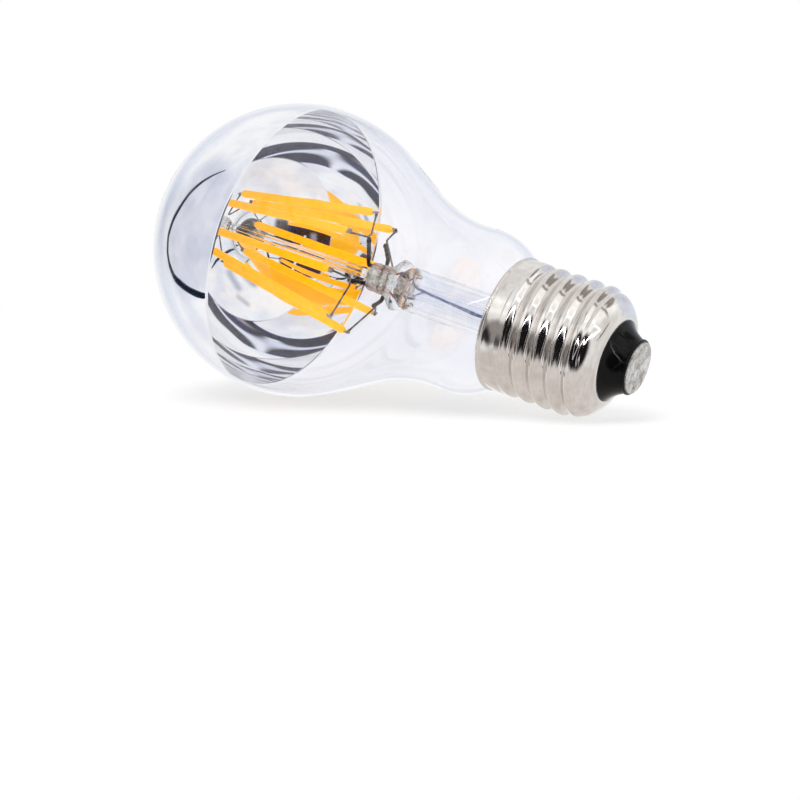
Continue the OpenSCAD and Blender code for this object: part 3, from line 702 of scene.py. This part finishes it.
# Studio: a pale floor under the lying lamp, a white surround and soft light
CAM_LIFT = math.radians(7.5)
FLOOR_UP = (CAM_UP * math.cos(CAM_LIFT) + CAM_BACK * math.sin(CAM_LIFT)).normalized()
FLOOR_RIGHT = (CAM_RIGHT - FLOOR_UP * CAM_RIGHT.dot(FLOOR_UP)).normalized()
FLOOR_BACK = FLOOR_RIGHT.cross(FLOOR_UP)
FLOOR_HALF, FLOOR_GAP = 4000, 0.05
SHADOW_NEAR, SHADOW_FAR = 90, 260
WORLD_LIGHT = 0.8


def make_floor():
    centre = Vector((0, 0, GLOBE_Z)) - FLOOR_UP * (GLOBE_R + FLOOR_GAP)
    across = FLOOR_UP.cross(Vector((0, 0, 1))).normalized()
    along = across.cross(FLOOR_UP)
    across, along = across * FLOOR_HALF, along * FLOOR_HALF
    corners = [centre + across * a + along * b for a, b in ((-1, -1), (1, -1), (1, 1), (-1, 1))]
    floor = new_mesh("floor", corners, [(0, 1, 2, 3)], smooth=False)
    if floor.data.polygons[0].normal.dot(FLOOR_UP) < 0:
        floor.data.flip_normals()
    mat = bpy.data.materials.new("floor")
    mat.use_nodes = True
    tree = mat.node_tree
    tree.nodes.remove(shader_of(mat))
    out = tree.nodes["Material Output"]
    seen = node(mat, "ShaderNodeLightPath").outputs
    pale = node(mat, "ShaderNodeMath", {0: seen["Is Camera Ray"], 1: seen["Is Glossy Ray"]},
                operation="MAXIMUM")
    pale = node(mat, "ShaderNodeMath", {0: pale.outputs[0], 1: seen["Is Transmission Ray"]},
                operation="MAXIMUM")
    diffuse = node(mat, "ShaderNodeBsdfDiffuse", {"Color": (0.3, 0.3, 0.3, 1)})
    glow = node(mat, "ShaderNodeEmission", {"Color": (1, 1, 1, 1), "Strength": 0.7})
    near = node(mat, "ShaderNodeAddShader", {0: diffuse.outputs[0], 1: glow.outputs[0]})
    white = node(mat, "ShaderNodeEmission", {"Color": (1, 1, 1, 1), "Strength": 1.0})
    spot = node(mat, "ShaderNodeNewGeometry")
    away = node(mat, "ShaderNodeVectorMath", {0: spot.outputs["Position"], 1: centre * MM},
                operation="DISTANCE")
    far = node(mat, "ShaderNodeMapRange", {
        "Value": away.outputs["Value"], "From Min": SHADOW_NEAR * MM, "From Max": SHADOW_FAR * MM,
        "To Min": 0.0, "To Max": 1.0}, interpolation_type="SMOOTHSTEP")
    both = node(mat, "ShaderNodeMixShader", {
        0: far.outputs["Result"], 1: near.outputs[0], 2: white.outputs[0]})
    plain = node(mat, "ShaderNodeBsdfDiffuse", {"Color": (0.8, 0.8, 0.8, 1)})
    front = node(mat, "ShaderNodeMixShader", {
        0: pale.outputs[0], 1: plain.outputs[0], 2: both.outputs[0]})
    side = node(mat, "ShaderNodeNewGeometry")
    clear = node(mat, "ShaderNodeBsdfTransparent")
    mix = node(mat, "ShaderNodeMixShader", {0: side.outputs["Backfacing"], 1: front.outputs[0],
                                            2: clear.outputs[0]})
    tree.links.new(mix.outputs[0], out.inputs["Surface"])
    floor.data.materials.append(mat)
    floor.visible_glossy = False
    floor.visible_transmission = False


def toward(azimuth, elevation):
    """A direction: azimuth from the camera towards the picture's right, elevation above the floor."""
    a, e = math.radians(azimuth), math.radians(elevation)
    level = FLOOR_BACK * math.cos(a) + FLOOR_RIGHT * math.sin(a)
    return level * math.cos(e) + FLOOR_UP * math.sin(e)


# What the lamp sees round it: a soft-edged patch has its middle's azimuth and elevation, its turn, its
# half width and half height and the softness of its edge, in degrees, and its colour.
# Seen straight through the glass
BEHIND = (
    (-90, 12, 0, 34, 34, 10, (0.78, 0.79, 0.85)),
    (0, -88, 0, 42, 42, 5, (0.93, 0.9, 0.89)),
    (180, 0, 0, 48, 30, 14, (0.76, 0.8, 0.88)),
    (180, -7.5, 0, 21, 17, 4, (0.99, 0.98, 1.0)),
)
# Seen in the silvering and in the inner faces of the glass, and not straight through it
MIRRORED = (
    (-4, 2, 0, 21, 23, 1.2, (0.004, 0.004, 0.066)),
    (-5, -11, 0, 17, 4.5, 1, (0.006, 0.004, 0.008)),
    (6, 12, 0, 15, 5, 2, (0.012, 0.014, 0.03)),
    (6.5, 9, -21, 1.0, 21, 0.7, (0.9, 0.92, 1.0)),
    (-8, -9, 0, 2.4, 3.5, 2, (0.34, 0.3, 0.38)),
    (20, -13, 0, 6, 12, 2.5, (0.08, 0.065, 0.06)),
    (51, 24, 39, 3, 7, 3, (0.42, 0.44, 0.52)),
    (67, 22, 16, 3, 9, 3, (0.5, 0.52, 0.6)),
    (67, 38, 30, 2, 6, 2, (0.6, 0.62, 0.68)),
)
# Seen in the first surface that a ray meets, such as the cap's
PANELS = (
    (0, -88, 0, 60, 60, 12, (0.84, 0.8, 0.77)),
    (-60, 38, 0, 60, 13, 7, (1.4, 1.4, 1.4)),
    (50, 38, 0, 50, 13, 7, (1.4, 1.4, 1.4)),
    (105, 42, 0, 16, 9, 2, (0.4, 0.37, 0.35)),
    (-110, 46, 8, 4, 20, 1.5, (0.4, 0.38, 0.38)),
    (-94, 44, 8, 1.5, 20, 1, (0.3, 0.28, 0.28)),
    (-72, 46, 12, 2.5, 22, 1, (0.42, 0.4, 0.4)),
    (-28, 44, -10, 3, 22, 1.5, (0.42, 0.4, 0.39)),
    (-8, 42, 14, 1.6, 22, 1, (0.2, 0.19, 0.19)),
    (16, 46, -12, 2.6, 18, 1.5, (0.42, 0.4, 0.39)),
    (78, 40, 10, 2.5, 18, 1.5, (0.45, 0.43, 0.43)),
    (-108, 7, 0, 34, 17, 5, (0.03, 0.03, 0.035)),
    (-47, -4, 0, 26, 20, 5, (0.36, 0.33, 0.32)),
    (-66, -8, 0, 7, 14, 4, (0.02, 0.02, 0.025)),
    (8, -5, 0, 31, 30, 7, (0.012, 0.01, 0.012)),
    (-22, -6, 6, 1.6, 30, 0.8, (1.2, 1.2, 1.2)),
    (2, -4, 16, 1.2, 30, 0.6, (1.2, 1.2, 1.2)),
    (30, 10, 3, 24, 1.2, 0.9, (12.0, 12.0, 12.4)),
    (36, 40, 18, 1.2, 11, 1.1, (2.4, 2.4, 2.4)),
    (51, 21, 50, 1.2, 13, 1.1, (2.4, 2.4, 2.4)),
    (140, 15, 0, 25, 22, 9, (0.8, 0.85, 0.97)),
)


def make_world():
    world = bpy.data.worlds.new("world")
    scene.world = world
    world.use_nodes = True
    back = world.node_tree.nodes["Background"]
    seen = node(world, "ShaderNodeLightPath")
    way = node(world, "ShaderNodeTexCoord").outputs["Generated"]

    def math_node(kind, first, second=0.0):
        return node(world, "ShaderNodeMath", {0: first, 1: second}, operation=kind).outputs[0]

    def along(axis):
        return node(world, "ShaderNodeVectorMath", {0: way, 1: axis},
                    operation="DOT_PRODUCT").outputs["Value"]

    def patched(colour, patches, oval=False):
        for azimuth, elevation, turn, half_w, half_h, soft, tint in patches:
            middle = toward(azimuth, elevation)
            across = Matrix.Rotation(math.radians(turn), 3, middle) @ toward(azimuth + 90, 0)
            depth = along(middle)
            mask = math_node("GREATER_THAN", depth, 0.05)
            shares = []
            for axis, half in ((across, half_w), (middle.cross(across), half_h)):
                reach = math.tan(math.radians(half))
                shares.append(math_node("DIVIDE", math_node("DIVIDE", along(axis), depth), reach))
            if oval:
                squares = [math_node("MULTIPLY", share, share) for share in shares]
                fades = [(math_node("SQRT", math_node("ADD", *squares)), soft / min(half_w, half_h))]
            else:
                fades = [(math_node("ABSOLUTE", share), soft / half)
                         for share, half in zip(shares, (half_w, half_h))]
            for share, fade in fades:
                edge = node(world, "ShaderNodeMapRange", {
                    "Value": share, "From Min": 1 + fade, "From Max": max(1 - fade, 0), "To Min": 0.0,
                    "To Max": 1.0}, interpolation_type="SMOOTHSTEP").outputs["Result"]
                mask = math_node("MULTIPLY", mask, edge)
            colour = node(world, "ShaderNodeMix", {"Factor": mask, 6: colour, 7: (*tint, 1)},
                          data_type="RGBA").outputs[2]
        return colour

    def clouded(colour, scale, dark):
        cloud = ramp(world, noise(world, way, scale, detail=3.0), [(0.36, dark), (0.58, (1.0, 1.0, 1.0))])
        return node(world, "ShaderNodeMix", {"Factor": 1.0, 6: colour, 7: cloud}, data_type="RGBA",
                    blend_type="MULTIPLY").outputs[2]

    through, first = seen.outputs["Is Transmission Ray"], seen.outputs["Is Glossy Ray"]
    panels = clouded(patched((1, 1, 1, 1), PANELS, oval=True), 5.0, (0.86, 0.85, 0.85))
    behind = patched((1, 1, 1, 1), BEHIND)
    mirrored = math_node("GREATER_THAN", seen.outputs["Glossy Depth"], 0.5)
    surround = node(world, "ShaderNodeMix", {
        "Factor": mirrored, 6: behind, 7: patched(behind, MIRRORED)}, data_type="RGBA").outputs[2]
    surround = clouded(surround, 3.2, (0.84, 0.86, 0.92))
    shown = node(world, "ShaderNodeMix", {"Factor": first, 6: (1, 1, 1, 1), 7: panels},
                 data_type="RGBA").outputs[2]
    shown = node(world, "ShaderNodeMix", {"Factor": through, 6: shown, 7: surround},
                 data_type="RGBA").outputs[2]
    world.node_tree.links.new(shown, back.inputs["Color"])
    visible = math_node("MAXIMUM", math_node("MAXIMUM", through, first), seen.outputs["Is Camera Ray"])
    level = node(world, "ShaderNodeMapRange", {"Value": visible, "To Min": WORLD_LIGHT, "To Max": 1.0})
    world.node_tree.links.new(level.outputs["Result"], back.inputs["Strength"])


def make_lamp(name, place, target, width, height, power):
    data = bpy.data.lights.new(name, "AREA")
    data.shape = "RECTANGLE"
    data.size, data.size_y = width * MM, height * MM
    data.energy = power
    lamp = bpy.data.objects.new(name, data)
    scene.collection.objects.link(lamp)
    lamp.location = place * MM
    lamp.rotation_mode = "QUATERNION"
    lamp.rotation_quaternion = ((place - target) * MM).to_track_quat("Z", "Y")
    lamp.visible_glossy = False
    lamp.visible_transmission = False


def make_ribbon(name, stops, colour, strength, distance=2500):
    """A curved strip far round the lamp that only reflections see. Each stop has an azimuth, an elevation
    and a half width in degrees."""
    globe = Vector((0, 0, GLOBE_Z))
    ways = [toward(azimuth, elevation) for azimuth, elevation, half in stops]
    points, faces = [], []
    for i, way in enumerate(ways):
        run = ways[min(i + 1, len(ways) - 1)] - ways[max(i - 1, 0)]
        across = way.cross(run).normalized() * math.tan(math.radians(stops[i][2]))
        points += [globe + (way + across) * distance, globe + (way - across) * distance]
        if i:
            faces.append((2 * i - 2, 2 * i - 1, 2 * i + 1, 2 * i))
    ribbon = new_mesh(name, points, faces, smooth=False)
    mat = bpy.data.materials.new(name)
    mat.use_nodes = True
    mat.node_tree.nodes.remove(shader_of(mat))
    glow = node(mat, "ShaderNodeEmission", {"Color": (*colour, 1), "Strength": strength})
    depth = node(mat, "ShaderNodeLightPath").outputs["Glossy Depth"]
    mirrored = node(mat, "ShaderNodeMath", {0: depth, 1: 0.5}, operation="GREATER_THAN").outputs[0]
    clear = node(mat, "ShaderNodeBsdfTransparent")
    shown = node(mat, "ShaderNodeMixShader", {0: mirrored, 1: clear.outputs[0], 2: glow.outputs[0]})
    mat.node_tree.links.new(shown.outputs[0], mat.node_tree.nodes["Material Output"].inputs["Surface"])
    ribbon.data.materials.append(mat)
    ribbon.visible_camera = False
    ribbon.visible_diffuse = False
    ribbon.visible_shadow = False


CENTRE = Vector((0, 0, 55))
make_floor()
make_world()
make_lamp("key", CENTRE + FLOOR_UP * 420 + CAM_BACK * 180 - CAM_RIGHT * 120, CENTRE, 420, 260, 1.6)
# The dark seam in the surround that the crown's outside mirrors
SEAM = (
    (-96, 47, 0.2), (-98, 45, 0.45), (-104, 38.5, 0.8), (-109, 32, 1.1), (-113.5, 24.5, 1.3),
    (-117, 17, 1.5), (-121, 10.5, 1.6), (-124, 4, 1.6), (-124, -1.5, 1.5), (-122, -6, 1.6),
    (-117, -11.5, 1.8), (-110, -15, 2.1), (-102, -19, 2.0), (-95, -22, 2.2), (-89, -24, 2.0),
    (-84, -25, 1.4))
make_ribbon("seam", SEAM, (0.01, 0.015, 0.035), 1.0)
LOBE_EDGE = ((87, 11, 0.3), (81, 7, 0.9), (73, 3, 1.1), (65, 0, 1.0), (59, -2, 0.4))
make_ribbon("lobe_edge", LOBE_EDGE, (0.02, 0.025, 0.05), 1.0)

scene.view_settings.view_transform = "Standard"
scene.cycles.max_bounces = 24
scene.cycles.glossy_bounces = 12
scene.cycles.transmission_bounces = 20
scene.cycles.transparent_max_bounces = 12
